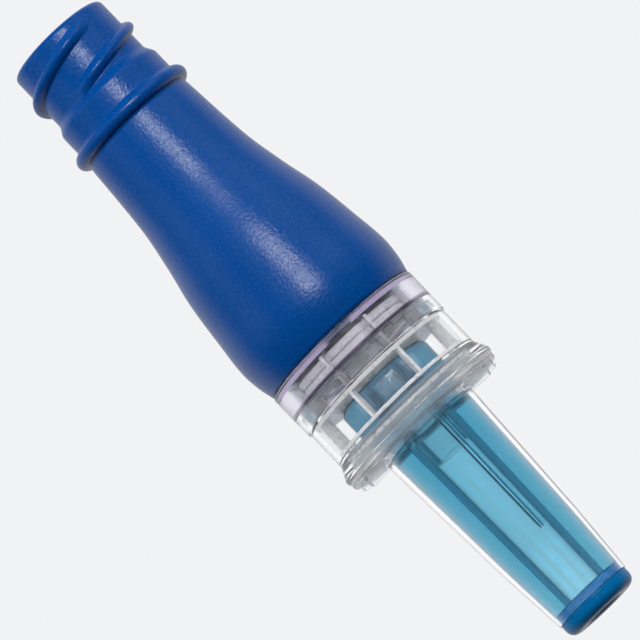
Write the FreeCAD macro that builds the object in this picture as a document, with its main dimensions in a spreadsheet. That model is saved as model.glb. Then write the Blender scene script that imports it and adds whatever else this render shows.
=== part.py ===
"""Pipette filler bulb, in millimetres.

A soft bulb with a threaded neck stands on a clear valve housing, and the housing on a clear nose cone whose
elastomer sleeve and lip seal grip a pipette. The common axis is +Z, with the neck up. The origin is the
centre of the lip's lower face, where a pipette goes in. Every height is measured from there.
"""

import FreeCAD, Part
import Sketcher
import math
import os

SHEET = "Dimensions"
DIMENSIONS = {
    # lip seal at the tip, which holds the pipette
    "lip_radius": 7.75,
    "lip_top": 3.0,
    "lip_round": 1.3,
    "seal_plug_radius": 7.4,
    "seal_top": 4.7,
    "seal_bore_radius": 2.2,
    "entry_radius": 3.7,
    "entry_depth": 1.2,
    # nose cone
    "cone_tip_radius": 8.0,
    "cone_knee": 16.0,
    "cone_knee_radius": 9.0,
    "cone_root_radius": 10.35,
    "cone_tip_bore": 7.45,
    "cone_knee_bore": 8.2,
    "cone_root_bore": 9.45,
    "cone_root": 45.2,
    "cone_root_round": 0.9,
    "hub_radius": 11.3,
    "flange_base": 46.3,
    "flange_top": 47.6,
    "flange_radius": 17.35,
    "flange_round": 0.4,
    "register_radius": 15.1,
    "register_bore": 13.95,
    "register_top": 50.6,
    "seal_groove_radius": 14.15,
    "seal_groove_low": 48.55,
    "seal_groove_high": 49.85,
    "lug_inner": 11.0,
    "lug_outer": 16.7,
    "lug_width": 1.25,
    "lug_base": 45.35,
    "lug_count": 5,
    "lug_spread": 60.0,
    # o-rings
    "ring_section": 0.5,
    "cone_ring_radius": 14.65,
    "cone_ring_height": 49.2,
    "spigot_ring_radius": 13.0,
    "spigot_ring_height": 72.0,
    # sleeve in the cone, with its collar in the valve housing
    "sleeve_tip_radius": 7.45,
    "sleeve_knee_radius": 8.15,
    "sleeve_root_radius": 9.4,
    "collar_radius": 10.2,
    "collar_top": 57.8,
    "collar_round": 1.3,
    "bore_tip_radius": 3.35,
    "bore_root_radius": 4.05,
    "bypass_width": 0.95,
    "bypass_outer": 4.5,
    "bypass_foot": 18.0,
    "bypass_angle": -60.0,
    "washer_bore": 4.3,
    "washer_radius": 9.6,
    "washer_top": 58.2,
    # air tube, which ends in the valve seat
    "tube_radius": 3.68,
    "tube_bore": 2.7,
    "tube_foot": 39.0,
    "seat_top": 59.7,
    # valve housing
    "housing_foot": 47.65,
    "rim_radius": 17.7,
    "rim_top": 48.4,
    "rim_round": 0.35,
    "flare_top": 50.9,
    "wall_radius": 16.42,
    "wall_bore": 15.25,
    "band_foot": 58.8,
    "band_top": 59.15,
    "band_radius": 16.72,
    "ledge_bore": 13.9,
    "ledge_foot": 50.8,
    "ledge_top": 51.6,
    "joint_height": 62.4,
    "lock_groove_radius": 15.85,
    "lock_groove_low": 60.0,
    "lock_groove_high": 61.6,
    "entry_slot_width": 5.4,
    "entry_slot_angle": 50.0,
    # valve cage
    "cage_radius": 15.05,
    "cage_bore": 13.95,
    "cage_plate_low": 58.2,
    "cage_plate_top": 59.4,
    "cage_ring_top": 52.3,
    "cage_rib_inner": 13.4,
    "cage_rib_outer": 14.9,
    "post_inner": 11.4,
    "post_step": 12.5,
    "post_outer": 13.5,
    "post_top": 66.6,
    "rib_width": 0.6,
    "rib_count": 8,
    "rib_overlap": 0.3,
    "guide_bore": 4.1,
    "guide_radius": 4.9,
    "guide_top": 60.7,
    # valve disc
    "disc_radius": 3.9,
    "disc_low": 59.72,
    "disc_top": 60.25,
    "disc_round": 0.15,
    # filter pack
    "filter_radius": 12.4,
    "grid_low": 63.0,
    "grid_high": 64.3,
    "membrane_top": 64.6,
    "gasket_bore": 11.2,
    "gasket_top": 65.0,
    "upper_grid_top": 66.3,
    "slot_inner": 4.4,
    "slot_outer": 11.0,
    "slot_width": 2.2,
    "slot_count": 8,
    # cap over the filter, with the spigot that carries the bulb
    "skirt_foot": 59.7,
    "skirt_bore": 13.9,
    "skirt_radius": 15.0,
    "lock_lug_inner": 14.5,
    "lock_lug_outer": 15.6,
    "lock_lug_width": 4.4,
    "lock_lug_low": 60.2,
    "lock_lug_high": 61.4,
    "lock_count": 3,
    "cap_foot": 62.45,
    "cap_radius": 16.75,
    "cap_plate_low": 67.0,
    "cap_top": 68.2,
    "cap_rib_foot": 66.35,
    "cap_rib_inner": 11.0,
    "cap_rib_outer": 12.0,
    "cap_round": 0.35,
    "port_radius": 3.0,
    "spigot_radius": 13.4,
    "spigot_bore": 11.4,
    "spigot_top": 77.5,
    "spigot_round": 0.8,
    "spigot_groove_radius": 12.5,
    "spigot_groove_low": 71.35,
    "spigot_groove_high": 72.65,
    # bulb
    "mouth_height": 68.25,
    "mouth_radius": 16.6,
    "mouth_bore": 13.6,
    "mouth_land_top": 75.0,
    "chamber_foot": 77.2,
    "chamber_foot_radius": 15.7,
    "chamber_mid": 91.0,
    "chamber_mid_radius": 14.1,
    "chamber_waist": 104.5,
    "chamber_waist_radius": 11.2,
    "neck_bore_foot": 119.0,
    "neck_bore_radius": 8.0,
    "lower_shoulder": 71.6,
    "lower_shoulder_radius": 17.32,
    "belly": 76.4,
    "belly_radius": 17.6,
    "swell": 97.6,
    "swell_radius": 14.62,
    "waist": 105.9,
    "waist_radius": 12.95,
    "bead_foot": 121.7,
    "bead_foot_radius": 11.65,
    "bead_top": 125.3,
    "bead_round": 1.85,
    "land_radius": 11.5,
    "land_top": 129.4,
    "neck_foot": 130.8,
    "neck_radius": 10.5,
    "neck_top": 143.0,
    "neck_round": 0.8,
    # two-start thread on the neck
    "thread_height": 1.5,
    "thread_root": 0.5,
    "thread_end_rise": 0.3,
    "thread_half_width": 1.4,
    "thread_start": 140.7,
    "thread_lead": 14.0,
    "thread_turn": 250.0,
    "thread_fade": 50.0,
    "thread_angle": -52.0,
    "thread_starts": 2,
    # how far a cut runs past the face that it opens
    "overshoot": 1.0,
}
AXIS_TOLERANCE = 1e-6
EDGE_TOLERANCE = 1e-3
THREAD_STEP = 10.0
OUT = "parts"

doc = FreeCAD.newDocument("PipetteFillerBulb")


def value(expression):
    """The number that a sum of dimensions, such as "wall_bore - rib_width", comes to."""
    total, sign = 0.0, 1.0
    for token in expression.split():
        if token in ("+", "-"):
            sign = 1.0 if token == "+" else -1.0
        else:
            total += sign * (DIMENSIONS[token] if token in DIMENSIONS else float(token))
    return total


def bound(expression):
    """The same sum in the spreadsheet's terms."""
    return " ".join(f"{SHEET}.{token}" if token in DIMENSIONS else token for token in expression.split())


def make_sheet():
    sheet = doc.addObject("Spreadsheet::Sheet", SHEET)
    for row, (alias, size) in enumerate(DIMENSIONS.items(), 1):
        sheet.set(f"A{row}", alias)
        sheet.set(f"B{row}", str(size))
        sheet.setAlias(f"B{row}", alias)
    doc.recompute()


def new_body(label):
    body = doc.addObject("PartDesign::Body", label)
    body.Label = label
    return body


def origin_plane(body, role):
    return next(feature for feature in body.Origin.OriginFeatures if feature.Role == role)


def arc_between(start, end, centre):
    """The counter-clockwise arc about centre that joins the two points, and whether it starts at start."""
    first, last = start - centre, end - centre
    forward = first.x * last.y - first.y * last.x > 0
    if not forward:
        first, last = last, first
    low = math.atan2(first.y, first.x)
    high = math.atan2(last.y, last.x)
    circle = Part.Circle(centre, FreeCAD.Vector(0, 0, 1), first.Length)
    return Part.ArcOfCircle(circle, low, high), forward


def tangent_centre(start, end, heading):
    """Centre of the arc that leaves start along heading and reaches end."""
    normal = FreeCAD.Vector(-heading.y, heading.x, 0)
    chord = end - start
    return start + normal * (chord.dot(chord) / (2 * normal.dot(chord)))


def bulge_centre(start, end, radius):
    """Centre of the arc of this radius that joins the points and bulges to the right of the way between."""
    chord = end - start
    normal = FreeCAD.Vector(-chord.y, chord.x, 0).normalize()
    return (start + end) * 0.5 + normal * math.sqrt(radius**2 - chord.dot(chord) / 4)


def outline_sketch(body, name, outline):
    """A closed outline in the XZ plane. Each corner is (radius, height), and may say how it is reached:
    "tangent" for an arc tangent to the line before it, or a dimension for a bulging arc of that radius."""
    sketch = body.newObject("Sketcher::SketchObject", name)
    sketch.AttachmentSupport = [(origin_plane(body, "XZ_Plane"), "")]
    sketch.MapMode = "FlatFace"
    corners = [FreeCAD.Vector(value(c[0]), value(c[1]), 0) for c in outline]
    count = len(outline)
    reached = [corner[2] if len(corner) == 3 else "line" for corner in outline]
    kinds = reached[1:] + reached[:1]
    ends = []
    heading = None
    for i, kind in enumerate(kinds):
        start, end = corners[i], corners[(i + 1) % count]
        if kind == "line":
            sketch.addGeometry(Part.LineSegment(start, end))
            forward = True
            heading = (end - start).normalize()
        else:
            if kind == "tangent":
                centre = tangent_centre(start, end, heading)
            else:
                centre = bulge_centre(start, end, value(kind))
            arc, forward = arc_between(start, end, centre)
            sketch.addGeometry(arc)
            spoke = end - centre
            heading = FreeCAD.Vector(-spoke.y, spoke.x, 0).normalize() * (1 if forward else -1)
        ends.append((1, 2) if forward else (2, 1))
    for i in range(count):
        before = (i - 1) % count
        join = "Tangent" if kinds[i] == "tangent" else "Coincident"
        sketch.addConstraint(Sketcher.Constraint(join, before, ends[before][1], i, ends[i][0]))
        corner = ends[i][0]
        for form, axis, expression in (("DistanceX", -2, outline[i][0]), ("DistanceY", -1, outline[i][1])):
            if abs(value(expression)) < AXIS_TOLERANCE:
                sketch.addConstraint(Sketcher.Constraint("PointOnObject", i, corner, axis))
            else:
                size = Sketcher.Constraint(form, -1, 1, i, corner, value(expression))
                index = sketch.addConstraint(size)
                sketch.setExpression(f"Constraints[{index}]", bound(expression))
        if kinds[i] not in ("line", "tangent"):
            index = sketch.addConstraint(Sketcher.Constraint("Radius", i, value(kinds[i])))
            sketch.setExpression(f"Constraints[{index}]", bound(kinds[i]))
    return sketch


def add_turned(body, name, outline):
    """Adds a closed outline of (radius, height) corners, turned about the axis, to a body."""
    sketch = outline_sketch(body, f"{name}_outline", outline)
    turned = body.newObject("PartDesign::Revolution", f"{name}_turned")
    turned.Profile = sketch
    turned.ReferenceAxis = (sketch, ["V_Axis"])
    turned.Angle = 360.0
    body.Tip = turned
    doc.recompute()


def revolved_body(label, outline):
    """A body turned about the axis from a closed outline of (radius, height) corners."""
    body = new_body(label)
    add_turned(body, label, outline)
    return body


def round_edges(body, name, size, rings):
    """Rounds the body's circular edges that have these radii and heights."""
    solid = body.Tip
    wanted = [(value(radius), value(height)) for radius, height in rings]
    names = []
    for number, edge in enumerate(solid.Shape.Edges, 1):
        if not isinstance(edge.Curve, Part.Circle):
            continue
        ring = (edge.Curve.Radius, edge.Curve.Center.z)
        if any(math.dist(ring, pair) < EDGE_TOLERANCE for pair in wanted):
            names.append(f"Edge{number}")
    if len(names) < len(wanted):
        raise ValueError(f"{name}: {len(names)} of {len(wanted)} edges found")
    fillet = body.newObject("PartDesign::Fillet", name)
    fillet.Base = (solid, names)
    fillet.setExpression("Radius", bound(size))
    body.Tip = fillet
    doc.recompute()


def bar_sketch(body, name, inner, outer, width, height):
    """A radial rectangle from inner to outer along +X, centred on the X axis, at a height."""
    sketch = body.newObject("Sketcher::SketchObject", name)
    sketch.AttachmentSupport = [(origin_plane(body, "XY_Plane"), "")]
    sketch.MapMode = "FlatFace"
    sketch.setExpression("AttachmentOffset.Base.z", bound(height))
    low, high, half = value(inner), value(outer), value(width) / 2
    corners = [(low, -half), (high, -half), (high, half), (low, half)]
    points = [FreeCAD.Vector(x, y, 0) for x, y in corners]
    for i in range(4):
        sketch.addGeometry(Part.LineSegment(points[i], points[(i + 1) % 4]))
    for i in range(4):
        sketch.addConstraint(Sketcher.Constraint("Coincident", i, 2, (i + 1) % 4, 1))
    for i, form in enumerate(("Horizontal", "Vertical", "Horizontal")):
        sketch.addConstraint(Sketcher.Constraint(form, i))
    sketch.addConstraint(Sketcher.Constraint("Symmetric", 0, 1, 3, 1, -1))
    for form, first, second, expression in (
        ("DistanceX", (-1, 1), (0, 1), inner),
        ("DistanceX", (-1, 1), (0, 2), outer),
        ("DistanceY", (0, 2), (1, 2), width),
    ):
        index = sketch.addConstraint(Sketcher.Constraint(form, *first, *second, value(expression)))
        sketch.setExpression(f"Constraints[{index}]", bound(expression))
    return sketch


def bar_feature(body, name, form, bar, low, high):
    """Adds ("Pad") or cuts ("Pocket") one radial bar, (inner, outer, width), between two heights."""
    before = body.Tip.Shape.Volume
    sketch = bar_sketch(body, f"{name}_outline", *bar, low)
    feature = body.newObject(f"PartDesign::{form}", name)
    feature.Profile = sketch
    feature.setExpression("Length", f"{bound(high)} - ({bound(low)})")
    if form == "Pocket":
        feature.Reversed = True
    body.Tip = feature
    doc.recompute()
    grew = feature.Shape.Volume > before + AXIS_TOLERANCE
    shrank = feature.Shape.Volume < before - AXIS_TOLERANCE
    if not (grew if form == "Pad" else shrank):
        raise ValueError(f"{name} changed nothing")
    return feature


def repeat_round(body, feature, count, spread=None):
    """Repeats a feature evenly about the axis, all the way round or through a spread from its own place."""
    pattern = body.newObject("PartDesign::PolarPattern", f"{feature.Name}_pattern")
    pattern.Originals = [feature]
    pattern.Axis = (origin_plane(body, "Z_Axis"), [""])
    pattern.Angle = 360.0
    if spread:
        pattern.setExpression("Angle", bound(spread))
    pattern.setExpression("Occurrences", bound(count))
    body.Tip = pattern
    doc.recompute()
    if abs(pattern.Shape.Volume - feature.Shape.Volume) < AXIS_TOLERANCE:
        raise ValueError(f"{pattern.Name} changed nothing")


def turn_sketch(feature, angle):
    """Turns a bar's sketch about the axis, to put the bar somewhere other than +X."""
    feature.Profile[0].setExpression("AttachmentOffset.Rotation.Angle", angle)
    doc.recompute()


def upright_ribs(body, name, inner, outer, low, high):
    """Thin upright ribs round the axis, the first half a spacing round from +X."""
    rib = bar_feature(body, name, "Pad", (inner, outer, "rib_width"), low, high)
    turn_sketch(rib, f"180 / {bound('rib_count')}")
    repeat_round(body, rib, "rib_count")


def torus(label, radius, height):
    ring = doc.addObject("Part::Torus", label)
    ring.Label = label
    ring.setExpression("Radius1", bound(radius))
    ring.setExpression("Radius2", bound("ring_section"))
    ring.setExpression("Placement.Base.z", bound(height))
    return ring


def lip_seal():
    body = revolved_body(
        "lip_seal",
        [
            ("entry_radius", "0"),
            ("lip_radius", "0"),
            ("lip_radius", "lip_top"),
            ("seal_plug_radius", "lip_top"),
            ("seal_plug_radius", "seal_top"),
            ("seal_bore_radius", "seal_top"),
            ("seal_bore_radius", "entry_depth"),
        ],
    )
    round_edges(body, "lip_corner", "lip_round", [("lip_radius", "0")])
    return body


def nose_cone():
    body = revolved_body(
        "nose_cone",
        [
            ("cone_tip_bore", "lip_top"),
            ("cone_tip_radius", "lip_top"),
            ("cone_knee_radius", "cone_knee"),
            ("cone_root_radius", "cone_root"),
            ("hub_radius", "flange_base"),
            ("flange_radius", "flange_base"),
            ("flange_radius", "flange_top"),
            ("register_radius", "flange_top"),
            ("register_radius", "seal_groove_low"),
            ("seal_groove_radius", "seal_groove_low"),
            ("seal_groove_radius", "seal_groove_high"),
            ("register_radius", "seal_groove_high"),
            ("register_radius", "register_top"),
            ("register_bore", "register_top"),
            ("register_bore", "flange_top"),
            ("cone_root_bore", "flange_top"),
            ("cone_knee_bore", "cone_knee"),
        ],
    )
    round_edges(body, "cone_root_fillet", "cone_root_round", [("cone_root_radius", "cone_root")])
    round_edges(body, "flange_edge", "flange_round", [("flange_radius", "flange_base")])
    for name, first in (("left_lug", "180 - lug_spread / 2"), ("right_lug", "0 - lug_spread / 2")):
        grip = bar_feature(
            body,
            name,
            "Pad",
            ("lug_inner", "lug_outer", "lug_width"),
            "lug_base",
            "flange_base + flange_round",
        )
        turn_sketch(grip, bound(first))
        repeat_round(body, grip, "lug_count", "lug_spread")
    return body


def holder_sleeve():
    body = revolved_body(
        "holder_sleeve",
        [
            ("bore_tip_radius", "seal_top"),
            ("sleeve_tip_radius", "seal_top"),
            ("sleeve_knee_radius", "cone_knee"),
            ("sleeve_root_radius", "flange_top"),
            ("collar_radius", "flange_top"),
            ("collar_radius", "collar_top"),
            ("bore_root_radius", "collar_top"),
        ],
    )
    round_edges(body, "collar_corner", "collar_round", [("collar_radius", "collar_top")])
    channel = bar_feature(
        body,
        "bypass_channel",
        "Pocket",
        ("tube_bore", "bypass_outer", "bypass_width"),
        "bypass_foot",
        "collar_top + overshoot",
    )
    turn_sketch(channel, bound("bypass_angle"))
    return body


def sleeve_washer():
    return revolved_body(
        "sleeve_washer",
        [
            ("washer_bore", "collar_top"),
            ("washer_radius", "collar_top"),
            ("washer_radius", "washer_top"),
            ("washer_bore", "washer_top"),
        ],
    )


def air_tube():
    return revolved_body(
        "air_tube",
        [
            ("tube_bore", "tube_foot"),
            ("tube_radius", "tube_foot"),
            ("tube_radius", "seat_top"),
            ("tube_bore", "seat_top"),
        ],
    )


def valve_housing():
    body = revolved_body(
        "valve_housing",
        [
            ("wall_bore", "housing_foot"),
            ("rim_radius", "housing_foot"),
            ("rim_radius", "rim_top"),
            ("wall_radius", "flare_top"),
            ("wall_radius", "band_foot"),
            ("band_radius", "band_top"),
            ("band_radius", "joint_height"),
            ("wall_bore", "joint_height"),
            ("wall_bore", "lock_groove_high"),
            ("lock_groove_radius", "lock_groove_high"),
            ("lock_groove_radius", "lock_groove_low"),
            ("wall_bore", "lock_groove_low"),
            ("wall_bore", "ledge_top"),
            ("ledge_bore", "ledge_top"),
            ("ledge_bore", "ledge_foot"),
            ("wall_bore", "ledge_foot"),
        ],
    )
    round_edges(body, "rim_edge", "rim_round", [("rim_radius", "housing_foot"), ("rim_radius", "rim_top")])
    slot = bar_feature(
        body,
        "entry_slot",
        "Pocket",
        ("ledge_bore", "lock_groove_radius", "entry_slot_width"),
        "lock_groove_high",
        "joint_height + overshoot",
    )
    turn_sketch(slot, bound("entry_slot_angle"))
    repeat_round(body, slot, "lock_count")
    return body


def valve_cage():
    """A plate with the disc's guide, on ribs with a ring at their feet, and stepped posts for the filter."""
    body = revolved_body(
        "valve_cage",
        [
            ("tube_radius", "cage_plate_low"),
            ("cage_radius", "cage_plate_low"),
            ("cage_radius", "cage_plate_top"),
            ("guide_radius", "cage_plate_top"),
            ("guide_radius", "guide_top"),
            ("guide_bore", "guide_top"),
            ("guide_bore", "cage_plate_top"),
            ("tube_radius", "cage_plate_top"),
        ],
    )
    upright_ribs(
        body, "cage_rib", "cage_rib_inner", "cage_rib_outer", "ledge_top", "cage_plate_low + rib_overlap"
    )
    upright_ribs(body, "filter_post", "post_inner", "post_outer", "cage_plate_top - rib_overlap", "grid_low")
    upright_ribs(body, "filter_guide", "post_step", "post_outer", "grid_low - rib_overlap", "post_top")
    add_turned(
        body,
        "cage_ring",
        [
            ("cage_bore", "ledge_top"),
            ("cage_radius", "ledge_top"),
            ("cage_radius", "cage_ring_top"),
            ("cage_bore", "cage_ring_top"),
        ],
    )
    return body


def valve_disc():
    body = revolved_body(
        "valve_disc",
        [("0", "disc_low"), ("disc_radius", "disc_low"), ("disc_radius", "disc_top"), ("0", "disc_top")],
    )
    round_edges(body, "disc_edge", "disc_round", [("disc_radius", "disc_low"), ("disc_radius", "disc_top")])
    return body


def filter_grid(label, low, high):
    """A disc with a solid middle and radial slots, one on each side of the membrane."""
    body = revolved_body(label, [("0", low), ("filter_radius", low), ("filter_radius", high), ("0", high)])
    slot = bar_feature(
        body,
        f"{label}_slot",
        "Pocket",
        ("slot_inner", "slot_outer", "slot_width"),
        low,
        f"{high} + overshoot",
    )
    repeat_round(body, slot, "slot_count")
    return body


def filter_membrane():
    return revolved_body(
        "filter_membrane",
        [
            ("0", "grid_high"),
            ("filter_radius", "grid_high"),
            ("filter_radius", "membrane_top"),
            ("0", "membrane_top"),
        ],
    )


def filter_gasket():
    return revolved_body(
        "filter_gasket",
        [
            ("gasket_bore", "membrane_top"),
            ("filter_radius", "membrane_top"),
            ("filter_radius", "gasket_top"),
            ("gasket_bore", "gasket_top"),
        ],
    )


def housing_cap():
    """A ring and top plate over the filter, with a spigot above and ribs inside that hold the filter down."""
    body = revolved_body(
        "housing_cap",
        [
            ("skirt_bore", "skirt_foot"),
            ("skirt_radius", "skirt_foot"),
            ("skirt_radius", "cap_foot"),
            ("cap_radius", "cap_foot"),
            ("cap_radius", "cap_top"),
            ("spigot_radius", "cap_top"),
            ("spigot_radius", "spigot_groove_low"),
            ("spigot_groove_radius", "spigot_groove_low"),
            ("spigot_groove_radius", "spigot_groove_high"),
            ("spigot_radius", "spigot_groove_high"),
            ("spigot_radius", "spigot_top"),
            ("spigot_bore", "spigot_top"),
            ("spigot_bore", "cap_top"),
            ("port_radius", "cap_top"),
            ("port_radius", "cap_plate_low"),
            ("skirt_bore", "cap_plate_low"),
        ],
    )
    round_edges(body, "cap_edge", "cap_round", [("cap_radius", "cap_top")])
    round_edges(body, "spigot_edge", "spigot_round", [("spigot_radius", "spigot_top")])
    lug = bar_feature(
        body,
        "lock_lug",
        "Pad",
        ("lock_lug_inner", "lock_lug_outer", "lock_lug_width"),
        "lock_lug_low",
        "lock_lug_high",
    )
    repeat_round(body, lug, "lock_count")
    upright_ribs(
        body,
        "cap_rib",
        "cap_rib_inner",
        "cap_rib_outer",
        "cap_rib_foot",
        "cap_plate_low + rib_overlap",
    )
    return body


def thread_ridge(start):
    """One start of the neck's thread: a rounded ridge that swells out of the neck and sinks back into it."""
    root = value("neck_radius - thread_root")
    lowest = value("thread_end_rise")
    highest = value("thread_root + thread_height")
    half = value("thread_half_width")
    steps = round(value("thread_turn") / THREAD_STEP)
    wires = []
    for step in range(steps + 1):
        turned = step * THREAD_STEP
        fade = min(1.0, turned / value("thread_fade"), (value("thread_turn") - turned) / value("thread_fade"))
        rise = lowest + (highest - lowest) * math.sin(fade * math.pi / 2) ** 2
        angle = math.radians(value("thread_angle") - turned + 360.0 * start / value("thread_starts"))
        height = value("thread_start") - value("thread_lead") * turned / 360.0
        outward = FreeCAD.Vector(math.cos(angle), math.sin(angle), 0)
        up = FreeCAD.Vector(0, 0, 1)
        middle = outward * root + up * height
        low, high, crest = middle - up * half, middle + up * half, middle + outward * rise
        wires.append(Part.Wire([Part.Arc(low, crest, high).toShape(), Part.makeLine(high, low)]))
    ridge = doc.addObject("Part::Feature", f"thread_ridge_{start + 1}")
    ridge.Shape = Part.makeLoft(wires, True, False)
    return ridge


def bulb():
    body = revolved_body(
        "bulb_wall",
        [
            ("neck_bore_radius", "neck_top"),
            ("neck_bore_radius", "neck_bore_foot"),
            ("chamber_waist_radius", "chamber_waist"),
            ("chamber_mid_radius", "chamber_mid"),
            ("chamber_foot_radius", "chamber_foot"),
            ("mouth_bore", "mouth_land_top"),
            ("mouth_bore", "mouth_height"),
            ("mouth_radius", "mouth_height"),
            ("lower_shoulder_radius", "lower_shoulder"),
            ("belly_radius", "belly", "tangent"),
            ("swell_radius", "swell", "tangent"),
            ("waist_radius", "waist", "tangent"),
            ("bead_foot_radius", "bead_foot"),
            ("land_radius", "bead_top", "bead_round"),
            ("land_radius", "land_top"),
            ("neck_radius", "neck_foot"),
            ("neck_radius", "neck_top"),
        ],
    )
    rim = [("neck_radius", "neck_top"), ("neck_bore_radius", "neck_top")]
    round_edges(body, "neck_edge", "neck_round", rim)
    whole = body
    for start in range(int(value("thread_starts"))):
        joined = doc.addObject("Part::Fuse", f"bulb_with_ridge_{start + 1}")
        joined.Base = whole
        joined.Tool = thread_ridge(start)
        doc.recompute()
        whole = joined
    whole.Label = "bulb"
    return whole


def check_document():
    doc.recompute()
    for thing in doc.Objects:
        bad = [state for state in thing.State if state in ("Invalid", "Error")]
        if bad:
            raise ValueError(f"{thing.Label} is {bad}")


def write_parts(parts):
    os.makedirs(OUT, exist_ok=True)
    for part in parts:
        shape = part.Shape
        if shape.isNull() or not shape.isValid() or not shape.Solids:
            raise ValueError(f"{part.Label} has no valid solid")
        print(f"{part.Label:20s} solids {len(shape.Solids)} volume {shape.Volume:9.1f} mm3")
        shape.exportStep(f"{OUT}/{part.Label}.step")


def main():
    make_sheet()
    parts = [
        lip_seal(),
        nose_cone(),
        torus("cone_o_ring", "cone_ring_radius", "cone_ring_height"),
        holder_sleeve(),
        sleeve_washer(),
        air_tube(),
        valve_housing(),
        valve_cage(),
        valve_disc(),
        filter_grid("filter_grid_lower", "grid_low", "grid_high"),
        filter_membrane(),
        filter_gasket(),
        filter_grid("filter_grid_upper", "gasket_top", "upper_grid_top"),
        housing_cap(),
        torus("spigot_o_ring", "spigot_ring_radius", "spigot_ring_height"),
        bulb(),
    ]
    check_document()
    write_parts(parts)


main()
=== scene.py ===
"""Looks of the pipette filler bulb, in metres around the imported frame. +Z runs from the lip to the neck."""

import math

import bmesh
import bpy
from mathutils import Matrix, Vector


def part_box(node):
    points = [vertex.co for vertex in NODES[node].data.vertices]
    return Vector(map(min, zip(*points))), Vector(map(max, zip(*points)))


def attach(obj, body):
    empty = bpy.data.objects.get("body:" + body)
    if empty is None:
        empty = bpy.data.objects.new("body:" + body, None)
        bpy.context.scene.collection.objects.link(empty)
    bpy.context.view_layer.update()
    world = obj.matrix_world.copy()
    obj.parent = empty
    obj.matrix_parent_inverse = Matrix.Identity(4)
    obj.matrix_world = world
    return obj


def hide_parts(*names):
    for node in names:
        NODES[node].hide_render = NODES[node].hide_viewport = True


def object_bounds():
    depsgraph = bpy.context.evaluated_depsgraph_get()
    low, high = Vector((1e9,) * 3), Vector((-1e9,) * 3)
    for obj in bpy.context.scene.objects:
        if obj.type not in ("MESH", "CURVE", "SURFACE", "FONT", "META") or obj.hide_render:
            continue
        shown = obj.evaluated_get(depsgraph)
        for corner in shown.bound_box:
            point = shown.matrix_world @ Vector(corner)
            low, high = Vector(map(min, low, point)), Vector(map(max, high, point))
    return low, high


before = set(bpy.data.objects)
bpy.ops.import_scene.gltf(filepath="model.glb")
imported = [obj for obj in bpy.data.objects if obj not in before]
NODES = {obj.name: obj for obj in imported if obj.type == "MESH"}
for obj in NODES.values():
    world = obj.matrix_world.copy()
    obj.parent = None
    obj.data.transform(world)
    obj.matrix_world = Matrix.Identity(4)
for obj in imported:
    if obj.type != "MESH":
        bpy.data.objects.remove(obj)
cad_low, cad_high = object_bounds()

MM = 0.001

# ---------------------------------------------------------------- bulb sizes, mm and degrees
# outer profile from the open foot to the bead, as (height, radius)
BULB_PROFILE = [
    (68.25, 16.55), (71.6, 17.34), (75.0, 17.66), (83.0, 16.92), (90.5, 15.98), (99.0, 14.17), (107.0, 12.8),
    (121.8, 11.68),
]
# inner profile from the neck's mouth down to the land that grips the spigot
BULB_BORE = [
    (142.3, 8.0), (121.0, 8.0), (118.0, 8.3), (104.5, 11.2), (91.0, 14.1), (80.0, 15.6), (77.4, 15.6),
    (75.2, 13.7), (68.4, 13.62),
]
BEAD_LOW, BEAD_HIGH, BEAD_RADIUS = 121.8, 124.75, 13.2
# the plain stretch between the bead and the neck
SHOULDER_RADIUS, SHOULDER_TOP = 11.5, 128.9
NECK_FOOT, NECK_RADIUS, NECK_TOP, NECK_ROUND, MOUTH_ROUND = 131.3, 10.5, 143.0, 0.95, 0.7
THREAD_STARTS, THREAD_ANGLE, THREAD_TOP, THREAD_LEAD, THREAD_TURN = 2, -52.0, 140.7, 14.0, 250.0
THREAD_HALF, THREAD_HEIGHT = 1.35, 1.45
# turn over which the thread rises at each end, and how soft its section and that rise are
THREAD_FADE, SECTION_POWER, FADE_POWER = 42.0, 0.75, 1.3

# ---------------------------------------------------------------- seal sizes, mm and degrees
SLEEVE_TIP, SLEEVE_STEP = 4.73, 2.0
# sleeve's outside as (height, radius), from the tip up to the collar's foot
SLEEVE_OUTSIDE = [(SLEEVE_TIP, 7.44), (16.0, 8.14), (47.55, 9.38)]
COLLAR_FOOT, COLLAR_TOP, COLLAR_RADIUS, COLLAR_ROUND, COLLAR_EDGE = 47.65, 57.75, 10.17, 1.35, 0.25
BORE_TOP_RADIUS, BORE_TIP_RADIUS, BORE_ROUND = 4.05, 3.35, 0.3
CHANNEL_FOOT, CHANNEL_ANGLE, CHANNEL_HALF_TURN, CHANNEL_REACH = 18.0, -60.5, 6.5, 4.5
# lip seal, as (height, radius): its outside above the rounded foot, its top, its bore and its flared mouth
LIP_RADIUS, LIP_ROUND = 7.75, 1.75
LIP_OUTSIDE = [(2.6, 7.75), (2.96, 7.75), (2.97, 7.74), (2.97, 7.39), (3.0, 7.38), (4.6, 7.38)]
LIP_TOP = [(4.68, 7.3), (4.68, 2.35), (4.6, 2.22)]
LIP_BORE = [(3.9, 2.2), (3.2, 2.2), (2.4, 2.22), (1.5, 2.28)]
LIP_MOUTH = [(1.1, 2.6), (0.5, 3.5), (0.12, 4.0), (0.02, 4.5)]
# o-rings: the CAD's section, the visible one, and where its moulding line starts and how far it stands out
RING_CAD_SECTION, RING_SECTION, RING_LINE_START, RING_LINE = 0.5, 0.49, 0.485, 0.012
GASKET_BORE, WASHER_BORE, FLAT_ROUND = 11.2, 4.3, 0.12
# valve disc: its edge, the start of its flat faces, and the gate's dimple
DISC_ROUND, DISC_FLAT, DIMPLE_RADIUS, DIMPLE_FLOOR, DIMPLE_DEPTH = 0.15, 2.0, 0.6, 0.45, 0.08
BULB_COLUMNS, SLEEVE_COLUMNS, SEAL_COLUMNS, DISC_COLUMNS = 540, 360, 240, 160
SLEEVE_CREASE, CAD_CREASE = 40, 32

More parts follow.
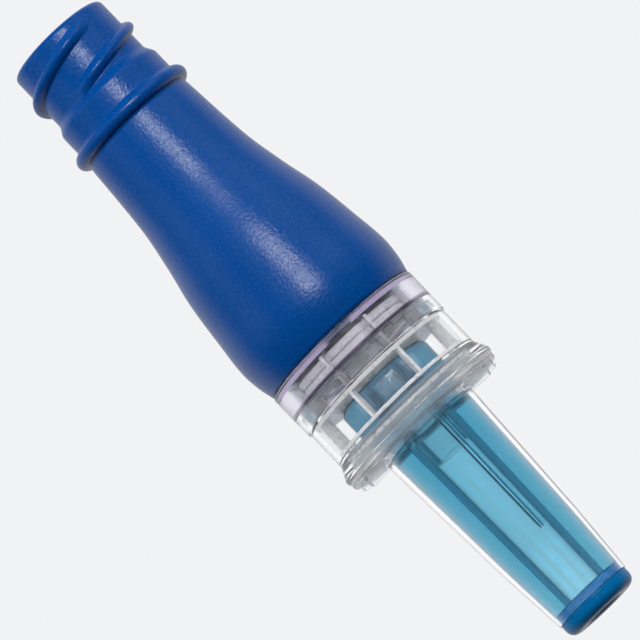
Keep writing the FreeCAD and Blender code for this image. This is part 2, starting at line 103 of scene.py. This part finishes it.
# ---------------------------------------------------------------- materials
PLASTIC_INDEX, SILICONE_INDEX = 1.49, 1.41
HOUSING_CLEARNESS = 0.985
# the cone's flange grows rougher and cloudier between two heights in mm
FLANGE_FOOT, FLANGE_TOP, FLANGE_ROUGHNESS, FLANGE_CLEARNESS = 44.8, 46.2, 0.22, 0.9
# painted shade at the cap's joint: a dark band that stands in for the shade in the gap and for the dark bulb
# mirrored there; its heights in mm, how far its two edges fade, and its colour
JOINT_FOOT, JOINT_TOP, JOINT_FADE, JOINT_SHADE_COLOUR = 62.3, 63.2, 0.1, (0.16, 0.14, 0.2)
# painted shade: the sleeve's collar is made darker, greyer and cloudier than the sleeve below, standing in
# for the shade inside the housing and the grey wash of its reflections; how far that fades in, in mm, its
# colour and its clearness
COLLAR_FADE, COLLAR_SHADE_COLOUR, COLLAR_SHADE_CLEARNESS = 0.6, (0.64, 0.7, 0.78), 0.9
# colour and density, per metre, of what clear pieces absorb
CAP_TINT = ((0.86, 0.84, 0.9), 200)
SLEEVE_TINT = ((0.06, 0.64, 0.77), 160)

# ---------------------------------------------------------------- view, light and floor, metres and degrees
AZIMUTH, ELEVATION, ROLL = 0.0, -7.0, 43.9
CAMERA_DISTANCE, FRAME_WIDTH, SENSOR = 1.2, 0.1151, 36.0
CLIP_START, CLIP_END = 0.01, 50.0
AIM_RIGHT, AIM_UP = -0.0016, 0.0005
FLOOR_SIZE, FLOOR_HEIGHT, FLOOR_COLOUR, FLOOR_GLOW = 8.0, -0.1, (0.28, 0.28, 0.285), 1.8
FILL_SIZE, FILL_AIM = (0.5, 0.5), 0.08
CLEAR_BOUNCES = 28
# the dim room, its backdrop and the white that the camera sees
ROOM_COLOUR, ROOM_LIGHT, BACKDROP_LIGHT = (0.95, 0.97, 1.0), 0.015, 0.64
BACKDROP_START, BACKDROP_FULL = -0.05, 0.6
WHITE_COLOUR, WHITE_LIGHT = (0.93, 0.935, 0.95), 0.95
# the wider room of light that has been through clear plastic
SWEEP_COLOUR, ECHO_COLOUR = (0.94, 0.945, 0.96), (0.2, 0.36, 0.45)
FRONT_LIGHT, SWEEP_LIGHT, INNER_GAIN = 0.2, 1.15, 3.6
SWEEP_START, SWEEP_FULL = -0.25, 0.8
ECHO_DEPTH = 3.0


# ---------------------------------------------------------------- outlines, made of (height, radius) points
def smooth_profile(points, step):
    """Points along a monotone cubic through the given ones, about a step of height apart."""
    count = len(points)
    slopes = [(after[1] - before[1]) / (after[0] - before[0]) for before, after in zip(points, points[1:])]
    tangents = [slopes[0]]
    for before, after in zip(slopes, slopes[1:]):
        tangents.append(0.0 if before * after <= 0 else 2 * before * after / (before + after))
    tangents.append(slopes[-1])
    made = []
    for i in range(count - 1):
        (z0, r0), (z1, r1) = points[i], points[i + 1]
        span = z1 - z0
        pieces = max(1, round(abs(span) / step))
        for j in range(pieces):
            t = j / pieces
            from_start = (2 * t**3 - 3 * t**2 + 1) * r0 + (t**3 - 2 * t**2 + t) * span * tangents[i]
            from_end = (-2 * t**3 + 3 * t**2) * r1 + (t**3 - t**2) * span * tangents[i + 1]
            made.append((z0 + span * t, from_start + from_end))
    made.append(points[-1])
    return made


def arc(height, radius, size, start, end, count, reach=None):
    """An arc about a centre, between two angles in degrees measured from outwards towards up. Its radius is
    size, or outwards reach where that is given."""
    reach = size if reach is None else reach
    made = []
    for i in range(count + 1):
        angle = math.radians(start + (end - start) * i / count)
        made.append((height + size * math.sin(angle), radius + reach * math.cos(angle)))
    return made


def straight(start, end, step):
    """A straight run, in equal pieces about a step long."""
    pieces = max(1, round(math.dist(start, end) / step))
    return [
        (start[0] + (end[0] - start[0]) * i / pieces, start[1] + (end[1] - start[1]) * i / pieces)
        for i in range(pieces + 1)
    ]


def ease(start, end, count):
    """A soft step between two points, flat at both ends."""
    made = []
    for i in range(count + 1):
        share = i / count
        rise = share * share * (3 - 2 * share)
        made.append((start[0] + (end[0] - start[0]) * share, start[1] + (end[1] - start[1]) * rise))
    return made


def bulb_outline():
    """The bulb's closed section, from its foot up the outside, over the neck and back down the bore."""
    bead_middle, bead_half = (BEAD_LOW + BEAD_HIGH) / 2, (BEAD_HIGH - BEAD_LOW) / 2
    bead_root = SHOULDER_RADIUS + 0.1
    neck_round_foot = (NECK_TOP - NECK_ROUND, NECK_RADIUS)
    outline = smooth_profile(BULB_PROFILE, step=0.8)[:-1]
    outline += arc(bead_middle, bead_root, bead_half, -90, 90, 20, reach=BEAD_RADIUS - bead_root)
    outline += straight((BEAD_HIGH + 0.15, SHOULDER_RADIUS), (SHOULDER_TOP, SHOULDER_RADIUS), step=0.3)
    outline += ease((SHOULDER_TOP, SHOULDER_RADIUS), (NECK_FOOT, NECK_RADIUS), 14)[1:-1]
    outline += straight((NECK_FOOT, NECK_RADIUS), neck_round_foot, step=0.1)
    outline += arc(NECK_TOP - NECK_ROUND, NECK_RADIUS - NECK_ROUND, NECK_ROUND, 0, 90, 8)[1:]
    outline += arc(NECK_TOP - MOUTH_ROUND, BULB_BORE[0][1] + MOUTH_ROUND, MOUTH_ROUND, 90, 180, 6)
    outline += smooth_profile(BULB_BORE, step=1.5)[1:]
    return outline


def bore_radius(height):
    """The sleeve's bore, which tapers evenly from the collar's top to the tip."""
    share = (height - SLEEVE_TIP) / (COLLAR_TOP - SLEEVE_TIP)
    return BORE_TIP_RADIUS + (BORE_TOP_RADIUS - BORE_TIP_RADIUS) * share


def sleeve_outline():
    """The sleeve's closed section, from its tip up the outside, over the collar and back down the bore."""
    collar_root = SLEEVE_OUTSIDE[-1][1] + 0.1
    outline = straight(*SLEEVE_OUTSIDE[:2], SLEEVE_STEP)[:-1] + straight(*SLEEVE_OUTSIDE[1:], SLEEVE_STEP)
    outline += [(COLLAR_FOOT, collar_root), (COLLAR_FOOT, COLLAR_RADIUS - COLLAR_EDGE)]
    outline += arc(COLLAR_FOOT + COLLAR_EDGE, COLLAR_RADIUS - COLLAR_EDGE, COLLAR_EDGE, -90, 0, 4)[1:]
    outline += arc(COLLAR_TOP - COLLAR_ROUND, COLLAR_RADIUS - COLLAR_ROUND, COLLAR_ROUND, 0, 90, 10)[1:]
    outline += [(COLLAR_TOP, 6.0), (COLLAR_TOP, BORE_TOP_RADIUS + 2 * BORE_ROUND)]
    outline += arc(COLLAR_TOP - BORE_ROUND, BORE_TOP_RADIUS + BORE_ROUND, BORE_ROUND, 90, 180, 4)
    bore_top, bore_tip = (COLLAR_TOP - 2 * BORE_ROUND, BORE_TOP_RADIUS), (SLEEVE_TIP, BORE_TIP_RADIUS)
    # two rows close together make the channel's lower end steep
    outline += straight(bore_top, (CHANNEL_FOOT + 0.05, bore_radius(CHANNEL_FOOT)), SLEEVE_STEP)
    outline += straight((CHANNEL_FOOT - 0.05, bore_radius(CHANNEL_FOOT)), bore_tip, SLEEVE_STEP)
    outline += [(SLEEVE_TIP, 4.5), (SLEEVE_TIP, 7.2)]
    return outline


def washer_outline(bottom, top, outer, inner):
    """A washer's closed section with softly rounded edges."""
    edge = min(FLAT_ROUND, (top - bottom) * 0.45)
    between = outer * 0.55 + inner * 0.45
    outline = arc(bottom + edge, outer - edge, edge, -90, 0, 5)
    outline += arc(top - edge, outer - edge, edge, 0, 90, 5)
    outline += [(top, between)]
    outline += arc(top - edge, inner + edge, edge, 90, 180, 5)
    outline += arc(bottom + edge, inner + edge, edge, 180, 270, 5)
    outline += [(bottom, between)]
    return outline


def disc_outline(bottom, top, outer):
    """Half a disc's section from the axis and back to it, with a shallow dimple in the middle of its top."""
    outline = [(bottom, 0.0), (bottom, DISC_FLAT)]
    outline += arc(bottom + DISC_ROUND, outer - DISC_ROUND, DISC_ROUND, -90, 90, 8)
    outline += [(top, DISC_FLAT), (top, DIMPLE_RADIUS)]
    outline += [(top - DIMPLE_DEPTH, DIMPLE_FLOOR), (top - DIMPLE_DEPTH, 0.0)]
    return outline


# ---------------------------------------------------------------- reliefs, added to an outline's radius
def thread_rise(height, radius, angle):
    """How far the thread stands out of the neck's outside at this height and angle in degrees."""
    if not (NECK_FOOT - 2.0 < height < NECK_TOP and radius > NECK_RADIUS - 0.2):
        return 0.0
    rise = 0.0
    for start in range(THREAD_STARTS):
        first = THREAD_ANGLE + 360.0 * start / THREAD_STARTS
        turned = (first - angle) % 360.0
        if turned > THREAD_TURN:
            continue
        middle = THREAD_TOP - THREAD_LEAD * turned / 360.0
        across = (height - middle) / THREAD_HALF
        fade = min(1.0, turned / THREAD_FADE, (THREAD_TURN - turned) / THREAD_FADE)
        if abs(across) < 1:
            section = (1 - across**2) ** SECTION_POWER
            rise = max(rise, THREAD_HEIGHT * section * math.sin(fade * math.pi / 2) ** FADE_POWER)
    return rise


def channel_rise(height, radius, angle):
    """How far the bypass channel moves the sleeve's bore outwards at this height and angle in degrees."""
    off = (angle - CHANNEL_ANGLE + 180.0) % 360.0 - 180.0
    in_bore = height > CHANNEL_FOOT and radius < BORE_TOP_RADIUS + BORE_ROUND + 0.05
    return CHANNEL_REACH - radius if in_bore and abs(off) < CHANNEL_HALF_TURN else 0.0


def lathe(name, outline, columns, rise=None, closed=True):
    """A section turned about the axis, its (height, radius) corners in mm. An open one ends on the axis."""
    mesh = bpy.data.meshes.new(name)
    vertices = []
    for height, radius in outline:
        for column in range(columns):
            angle = 360.0 * column / columns
            reach = radius + (rise(height, radius, angle) if rise else 0.0)
            turn = math.radians(angle)
            vertices.append((reach * MM * math.cos(turn), reach * MM * math.sin(turn), height * MM))
    faces = []
    rows = len(outline)
    for row in range(rows if closed else rows - 1):
        this_row, next_row = row * columns, (row + 1) % rows * columns
        for column in range(columns):
            across = (column + 1) % columns
            faces.append((this_row + column, this_row + across, next_row + across, next_row + column))
    mesh.from_pydata(vertices, [], faces)
    mesh.validate()
    built = bmesh.new()
    built.from_mesh(mesh)
    bmesh.ops.remove_doubles(built, verts=built.verts, dist=1e-7)
    bmesh.ops.recalc_face_normals(built, faces=built.faces)
    built.to_mesh(mesh)
    built.free()
    mesh.polygons.foreach_set("use_smooth", [True] * len(mesh.polygons))
    made = bpy.data.objects.new(name, mesh)
    bpy.context.scene.collection.objects.link(made)
    return made


# ---------------------------------------------------------------- shader nodes
def new_material(name):
    """A material with a principled shader. Gives the material, its tree, the shader and the output."""
    material = bpy.data.materials.new(name)
    material.use_nodes = True
    tree = material.node_tree
    tree.nodes.clear()
    output = tree.nodes.new("ShaderNodeOutputMaterial")
    shader = tree.nodes.new("ShaderNodeBsdfPrincipled")
    tree.links.new(shader.outputs["BSDF"], output.inputs["Surface"])
    return material, tree, shader, output


def noise(tree, scale, detail, roughness=0.5):
    """Noise over the object's own coordinates, its scale in cycles per metre."""
    place = tree.nodes.new("ShaderNodeTexCoord")
    texture = tree.nodes.new("ShaderNodeTexNoise")
    texture.inputs["Scale"].default_value = scale
    texture.inputs["Detail"].default_value = detail
    texture.inputs["Roughness"].default_value = roughness
    tree.links.new(place.outputs["Object"], texture.inputs["Vector"])
    return texture.outputs["Fac"]


def map_range(tree, source, low, high, low_value, high_value, blend="LINEAR"):
    """Maps a socket from low..high to low_value..high_value, and keeps it there beyond them."""
    node = tree.nodes.new("ShaderNodeMapRange")
    node.interpolation_type = blend
    node.inputs["From Min"].default_value = low
    node.inputs["From Max"].default_value = high
    node.inputs["To Min"].default_value = low_value
    node.inputs["To Max"].default_value = high_value
    tree.links.new(source, node.inputs["Value"])
    return node.outputs["Result"]


def coordinate(tree, kind, axis):
    """One axis of a kind of texture coordinate."""
    place = tree.nodes.new("ShaderNodeTexCoord")
    split = tree.nodes.new("ShaderNodeSeparateXYZ")
    tree.links.new(place.outputs[kind], split.inputs[0])
    return split.outputs[axis]


def height_range(tree, foot, top, low_value, high_value):
    """A value that goes from low_value to high_value between two heights in mm."""
    return map_range(tree, coordinate(tree, "Object", "Z"), foot * MM, top * MM, low_value, high_value)


def math_node(tree, operation, *operands):
    """A math node fed by sockets and plain numbers."""
    node = tree.nodes.new("ShaderNodeMath")
    node.operation = operation
    for place, operand in enumerate(operands):
        if isinstance(operand, (int, float)):
            node.inputs[place].default_value = operand
        else:
            tree.links.new(operand, node.inputs[place])
    return node.outputs[0]


def mix_colours(tree, factor, first, second):
    """Mixes two colours by a socket. Each is a socket or three numbers."""
    node = tree.nodes.new("ShaderNodeMix")
    node.data_type = "RGBA"
    for side, colour in (("A", first), ("B", second)):
        if isinstance(colour, tuple):
            node.inputs[side].default_value = (*colour, 1)
        else:
            tree.links.new(colour, node.inputs[side])
    tree.links.new(factor, node.inputs["Factor"])
    return node.outputs["Result"]


def mix_shaders(tree, factor, first, second):
    """Mixes two shaders by a socket."""
    node = tree.nodes.new("ShaderNodeMixShader")
    tree.links.new(factor, node.inputs["Fac"])
    tree.links.new(first, node.inputs[1])
    tree.links.new(second, node.inputs[2])
    return node.outputs[0]


def grain(tree, shader, source, depth, strength):
    """Bump from a texture, its depth in metres."""
    bump = tree.nodes.new("ShaderNodeBump")
    bump.inputs["Distance"].default_value = depth
    bump.inputs["Strength"].default_value = strength
    tree.links.new(source, bump.inputs["Height"])
    tree.links.new(bump.outputs["Normal"], shader.inputs["Normal"])


def absorb(tree, output, colour, density):
    """Colours light by how far it goes inside the piece."""
    node = tree.nodes.new("ShaderNodeVolumeAbsorption")
    node.inputs["Color"].default_value = (*colour, 1)
    node.inputs["Density"].default_value = density
    tree.links.new(node.outputs["Volume"], output.inputs["Volume"])


# ---------------------------------------------------------------- materials
def bulb_rubber():
    """Satin blue rubber with a fine moulded grain that breaks its highlight into specks."""
    material, tree, shader, _ = new_material("blue_elastomer")
    cloud = noise(tree, scale=45.0, detail=3.0)
    tinted = mix_colours(tree, cloud, (0.0, 0.066, 0.305), (0.0, 0.077, 0.345))
    tree.links.new(tinted, shader.inputs["Base Color"])
    fine = noise(tree, scale=1900.0, detail=2.0)
    tree.links.new(map_range(tree, fine, 0.35, 0.65, 0.2, 0.3), shader.inputs["Roughness"])
    grain(tree, shader, fine, depth=0.0001, strength=0.7)
    shader.inputs["Subsurface Weight"].default_value = 0.1
    shader.inputs["Subsurface Radius"].default_value = (0.0002, 0.0006, 0.0016)
    shader.inputs["Specular IOR Level"].default_value = 0.5
    return material


def clear_plastic(name, colour, roughness, clearness=1.0, flange=False, absorbed=None, joint=False):
    """Moulded clear plastic, with a little cloudiness in its polish. It may have the cone's rough and cloudy
    flange, absorb a (colour, density), or have a dark band of painted shade at the cap's joint, which also
    stands in for the dark bulb mirrored there."""
    material, tree, shader, output = new_material(name)
    if absorbed:
        absorb(tree, output, *absorbed)
    shader.inputs["Base Color"].default_value = (*colour, 1)
    shader.inputs["Transmission Weight"].default_value = clearness
    shader.inputs["IOR"].default_value = PLASTIC_INDEX
    cloud = noise(tree, scale=160.0, detail=2.0)
    haze = map_range(tree, cloud, 0.3, 0.7, roughness * 0.6, roughness * 1.5)
    if flange:
        rougher = height_range(tree, FLANGE_FOOT, FLANGE_TOP, 0.0, FLANGE_ROUGHNESS)
        haze = math_node(tree, "ADD", haze, rougher)
        cloudier = height_range(tree, FLANGE_FOOT, FLANGE_TOP, clearness, FLANGE_CLEARNESS)
        tree.links.new(cloudier, shader.inputs["Transmission Weight"])
    tree.links.new(haze, shader.inputs["Roughness"])
    # painted shade: the cap's colour turns dark in a band at its joint, for the shade in the gap and the dark
    # bulb mirrored there
    if joint:
        above_foot = height_range(tree, JOINT_FOOT, JOINT_FOOT + JOINT_FADE, 0.0, 1.0)
        below_top = height_range(tree, JOINT_TOP - JOINT_FADE, JOINT_TOP, 1.0, 0.0)
        inside = math_node(tree, "MULTIPLY", above_foot, below_top)
        tree.links.new(mix_colours(tree, inside, colour, JOINT_SHADE_COLOUR), shader.inputs["Base Color"])
    return material


def silicone(name, dark, light, clearness, roughness, absorbed=None, shine=0.5, collar=False):
    """Silicone, or frosted plastic, with a soft cloud in its colour. It may absorb a (colour, density), or be
    painted darker, greyer and cloudier in the sleeve's collar, as painted shade from the housing around it
    and a painted wash of its reflections."""
    material, tree, shader, output = new_material(name)
    tinted = mix_colours(tree, noise(tree, scale=70.0, detail=3.0), dark, light)
    shader.inputs["Transmission Weight"].default_value = clearness
    shader.inputs["IOR"].default_value = SILICONE_INDEX
    fine = noise(tree, scale=1200.0, detail=3.0)
    gloss = map_range(tree, fine, 0.3, 0.7, roughness * 0.8, roughness * 1.2)
    tree.links.new(gloss, shader.inputs["Roughness"])
    shader.inputs["Specular IOR Level"].default_value = shine
    if absorbed:
        absorb(tree, output, *absorbed)
    # painted shade: above the collar's foot the colour turns darker and greyer and the clearness drops
    if collar:
        faded = COLLAR_FOOT + COLLAR_FADE
        tinted = mix_colours(tree, height_range(tree, COLLAR_FOOT, faded, 0.0, 1.0), tinted, COLLAR_SHADE_COLOUR)
        cloudier = height_range(tree, COLLAR_FOOT, faded, clearness, COLLAR_SHADE_CLEARNESS)
        tree.links.new(cloudier, shader.inputs["Transmission Weight"])
    tree.links.new(tinted, shader.inputs["Base Color"])
    return material


def membrane_fibre():
    """White felted fibre, matt and finely rough."""
    material, tree, shader, _ = new_material("membrane")
    fibre = noise(tree, scale=2600.0, detail=6.0, roughness=0.7)
    tinted = mix_colours(tree, fibre, (0.72, 0.73, 0.74), (0.88, 0.88, 0.88))
    tree.links.new(tinted, shader.inputs["Base Color"])
    shader.inputs["Roughness"].default_value = 0.9
    grain(tree, shader, fibre, depth=0.00005, strength=0.8)
    return material


# ---------------------------------------------------------------- pieces
def finish_piece(piece, material, body, node):
    """Gives a piece its material and its body, and hides the CAD node it stands for."""
    piece.data.materials.append(material)
    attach(piece, body)
    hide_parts(node)


def cad_span(node):
    """A round CAD node's bottom, top and outer radius in mm."""
    low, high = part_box(node)
    return low.z / MM, high.z / MM, high.x / MM


def bulb_piece(material):
    piece = lathe("bulb_skin", bulb_outline(), BULB_COLUMNS, thread_rise)
    finish_piece(piece, material, "squeeze_bulb", "bulb")


def lip_piece(material):
    foot = arc(LIP_ROUND, LIP_RADIUS - LIP_ROUND, LIP_ROUND, -90, 0, 10)
    piece = lathe("lip_seal_skin", foot + LIP_OUTSIDE + LIP_TOP + LIP_BORE + LIP_MOUTH, SEAL_COLUMNS)
    finish_piece(piece, material, "nosepiece", "lip_seal")


def sleeve_piece(material):
    piece = lathe("sleeve_skin", sleeve_outline(), SLEEVE_COLUMNS, channel_rise)
    piece.data.set_sharp_from_angle(angle=math.radians(SLEEVE_CREASE))
    finish_piece(piece, material, "nosepiece", "holder_sleeve")


def ring_piece(name, material, body, node):
    """An o-ring with a faint moulding line round its outside, sized from the CAD ring."""
    bottom, top, outer = cad_span(node)
    middle = outer - RING_CAD_SECTION
    outline = [
        (height, radius + (RING_LINE if radius > middle + RING_LINE_START else 0.0))
        for height, radius in arc((bottom + top) / 2, middle, RING_SECTION, -180, 170, 35)
    ]
    finish_piece(lathe(name, outline, SEAL_COLUMNS), material, body, node)


def washer_piece(name, material, body, node, inner):
    """A washer or gasket with softly rounded edges, sized from the CAD node."""
    piece = lathe(name, washer_outline(*cad_span(node), inner), SEAL_COLUMNS)
    finish_piece(piece, material, body, node)


def disc_piece(material):
    """The valve disc, sized from the CAD node, with the dimple of its moulding gate."""
    piece = lathe("valve_disc_skin", disc_outline(*cad_span("valve_disc")), DISC_COLUMNS, closed=False)
    finish_piece(piece, material, "check_disc", "valve_disc")


def dress(names, material):
    """Gives CAD nodes a material, and shades their curved faces smooth and their edges crisp."""
    for name in names:
        mesh = NODES[name].data
        mesh.materials.clear()
        mesh.materials.append(material)
        mesh.polygons.foreach_set("use_smooth", [True] * len(mesh.polygons))
        mesh.set_sharp_from_angle(angle=math.radians(CAD_CREASE))


def dress_all():
    """Makes every material, puts it on its CAD nodes, and builds the pieces that replace soft CAD solids."""
    dress(["nose_cone"], clear_plastic("cone_plastic", (0.99, 0.99, 1.0), 0.03, flange=True))
    dress(["air_tube"], clear_plastic("tube_plastic", (0.95, 0.97, 0.98), 0.03))
    dress(["valve_housing"], clear_plastic("housing_plastic", (0.99, 0.99, 0.99), 0.05, HOUSING_CLEARNESS))
    cap_colour = (0.985, 0.98, 0.99)
    cap = clear_plastic("cap_plastic", cap_colour, 0.1, HOUSING_CLEARNESS, absorbed=CAP_TINT, joint=True)
    dress(["housing_cap"], cap)
    frosted = silicone("frosted_plastic", (0.93, 0.93, 0.95), (0.97, 0.97, 0.98), 0.25, 0.3)
    dress(["valve_cage", "filter_grid_lower", "filter_grid_upper"], frosted)
    pale_blue = ((0.9, 0.96, 0.98), (0.95, 0.98, 1.0))
    sleeve = silicone("light_blue_silicone", *pale_blue, 1.0, 0.1, SLEEVE_TINT, shine=0.4, collar=True)
    sleeve_piece(sleeve)
    seal = silicone("deep_blue_silicone", (0.0, 0.165, 0.44), (0.0, 0.185, 0.49), 0.1, 0.25, shine=0.3)
    pale_seal = silicone("pale_silicone", (0.8, 0.83, 0.86), (0.88, 0.9, 0.92), 0.5, 0.3)
    ring_piece("cone_o_ring_skin", pale_seal, "nosepiece", "cone_o_ring")
    ring_piece("spigot_o_ring_skin", pale_seal, "cap", "spigot_o_ring")
    washer_piece("filter_gasket_skin", pale_seal, "housing", "filter_gasket", GASKET_BORE)
    washer_piece("sleeve_washer_skin", pale_seal, "nosepiece", "sleeve_washer", WASHER_BORE)
    disc_piece(pale_seal)
    dress(["filter_membrane"], membrane_fibre())
    bulb_piece(bulb_rubber())
    lip_piece(seal)


# ---------------------------------------------------------------- stage, light, camera
def make_floor():
    """A pale floor with a glow of its own, which neither lights the object nor is mirrored in it."""
    bpy.ops.mesh.primitive_plane_add(size=FLOOR_SIZE, location=(0, 0, FLOOR_HEIGHT))
    floor = bpy.context.object
    floor.name = "floor"
    floor.visible_glossy = False
    floor.visible_diffuse = False
    material, _, shader, _ = new_material("floor_paint")
    shader.inputs["Base Color"].default_value = (*FLOOR_COLOUR, 1)
    shader.inputs["Roughness"].default_value = 0.8
    shader.inputs["Emission Color"].default_value = (*FLOOR_COLOUR, 1)
    shader.inputs["Emission Strength"].default_value = FLOOR_GLOW
    floor.data.materials.append(material)


def grow_backward(tree, start, full, dim, bright):
    """Light that grows from dim to bright as a direction turns towards +Y, where the backdrop is."""
    turned = coordinate(tree, "Generated", "Y")
    return map_range(tree, turned, start, full, dim, bright, blend="SMOOTHSTEP")


def make_world():
    """A white backdrop behind the object in a dim room. The camera sees white all round, and light that has
    been through clear plastic comes from a wider, paler room, brighter still for the pieces it lights inside.
    Light mirrored deep inside the clear pieces comes from a dim blue one."""
    world = bpy.data.worlds.new("studio")
    bpy.context.scene.world = world
    world.use_nodes = True
    tree = world.node_tree
    tree.nodes.clear()
    path = tree.nodes.new("ShaderNodeLightPath").outputs
    room, sweep, white = (tree.nodes.new("ShaderNodeBackground") for _ in range(3))

    room.inputs["Color"].default_value = (*ROOM_COLOUR, 1)
    outer = grow_backward(tree, BACKDROP_START, BACKDROP_FULL, ROOM_LIGHT, BACKDROP_LIGHT)
    tree.links.new(outer, room.inputs["Strength"])

    white.inputs["Color"].default_value = (*WHITE_COLOUR, 1)
    white.inputs["Strength"].default_value = WHITE_LIGHT

    # 1 for light that was mirrored and went through ECHO_DEPTH surfaces or more, else 0
    mirrored = math_node(tree, "MINIMUM", path["Glossy Depth"], 1.0)
    passed = math_node(tree, "MINIMUM", path["Transmission Depth"], ECHO_DEPTH)
    deep = math_node(tree, "MAXIMUM", math_node(tree, "SUBTRACT", passed, ECHO_DEPTH - 1.0), 0.0)
    echo = math_node(tree, "MULTIPLY", mirrored, deep)
    tree.links.new(mix_colours(tree, echo, SWEEP_COLOUR, ECHO_COLOUR), sweep.inputs["Color"])
    scattered = math_node(tree, "MINIMUM", path["Diffuse Depth"], 1.0)
    gain = math_node(tree, "MULTIPLY_ADD", scattered, INNER_GAIN - 1.0, 1.0)
    inner = grow_backward(tree, SWEEP_START, SWEEP_FULL, FRONT_LIGHT, SWEEP_LIGHT)
    tree.links.new(math_node(tree, "MULTIPLY", inner, gain), sweep.inputs["Strength"])

    through = math_node(tree, "MINIMUM", path["Transmission Depth"], 1.0)
    seen_by_light = mix_shaders(tree, through, room.outputs[0], sweep.outputs[0])
    seen_by_all = mix_shaders(tree, path["Is Camera Ray"], seen_by_light, white.outputs[0])
    output = tree.nodes.new("ShaderNodeOutputWorld")
    tree.links.new(seen_by_all, output.inputs["Surface"])


def softbox(name, place, aim_height, size, power, mirrored=True):
    """A rectangular area light facing a height on the axis, its second size as upright as it can be. One that
    isn't mirrored lights surfaces but doesn't show as a highlight."""
    data = bpy.data.lights.new(name, "AREA")
    data.shape = "RECTANGLE"
    data.size, data.size_y = size
    data.energy = power
    light = bpy.data.objects.new(name, data)
    light.visible_glossy = mirrored
    bpy.context.scene.collection.objects.link(light)
    facing = (Vector(place) - Vector((0, 0, aim_height))).normalized()
    upright = Vector((0, 0, 1))
    long_side = (upright - facing * upright.dot(facing)).normalized()
    across = long_side.cross(facing)
    turned = Matrix((across, long_side, facing)).transposed().to_4x4()
    light.matrix_world = Matrix.Translation(place) @ turned


def make_lights():
    """A soft key light with a brighter strip in it, and three fills that don't show as highlights."""
    softbox("key", (0.165, -0.59, 0.31), 0.11, (0.24, 0.34), 0.56)
    softbox("key_core", (0.165, -0.58, 0.268), 0.112, (0.2, 0.06), 0.6)
    softbox("left_fill", (-0.6, -0.25, 0.42), FILL_AIM, FILL_SIZE, 2.5, mirrored=False)
    softbox("right_fill", (0.6, -0.25, 0.42), FILL_AIM, FILL_SIZE, 2.85, mirrored=False)
    softbox("front_fill", (-0.1, -0.75, 0.45), FILL_AIM, FILL_SIZE, 2.6, mirrored=False)


def look_axes():
    """The camera's way back from the object, its right and its up, rolled so that the axis lies aslant."""
    azimuth, elevation, roll = map(math.radians, (AZIMUTH, ELEVATION, ROLL))
    level = math.cos(elevation)
    back = Vector((math.sin(azimuth) * level, -math.cos(azimuth) * level, math.sin(elevation)))
    level_up = (Vector((0, 0, 1)) - back * back.z).normalized()
    level_right = level_up.cross(back)
    right = level_right * math.cos(roll) - level_up * math.sin(roll)
    up = level_right * math.sin(roll) + level_up * math.cos(roll)
    return back, right, up


def make_camera():
    """The camera, aimed a little off the middle of the CAD box."""
    back, right, up = look_axes()
    centre = (cad_low + cad_high) / 2
    data = bpy.data.cameras.new("camera")
    data.sensor_width = SENSOR
    data.lens = SENSOR * CAMERA_DISTANCE / FRAME_WIDTH
    data.clip_start, data.clip_end = CLIP_START, CLIP_END
    camera = bpy.data.objects.new("camera", data)
    bpy.context.scene.collection.objects.link(camera)
    place = centre + back * CAMERA_DISTANCE + right * AIM_RIGHT + up * AIM_UP
    turned = Matrix((right, up, back)).transposed().to_4x4()
    camera.matrix_world = Matrix.Translation(place) @ turned
    bpy.context.scene.camera = camera


bpy.context.scene.view_settings.view_transform = "Standard"
bpy.context.scene.cycles.max_bounces = CLEAR_BOUNCES
bpy.context.scene.cycles.transmission_bounces = CLEAR_BOUNCES
dress_all()
make_floor()
make_world()
make_lights()
make_camera()
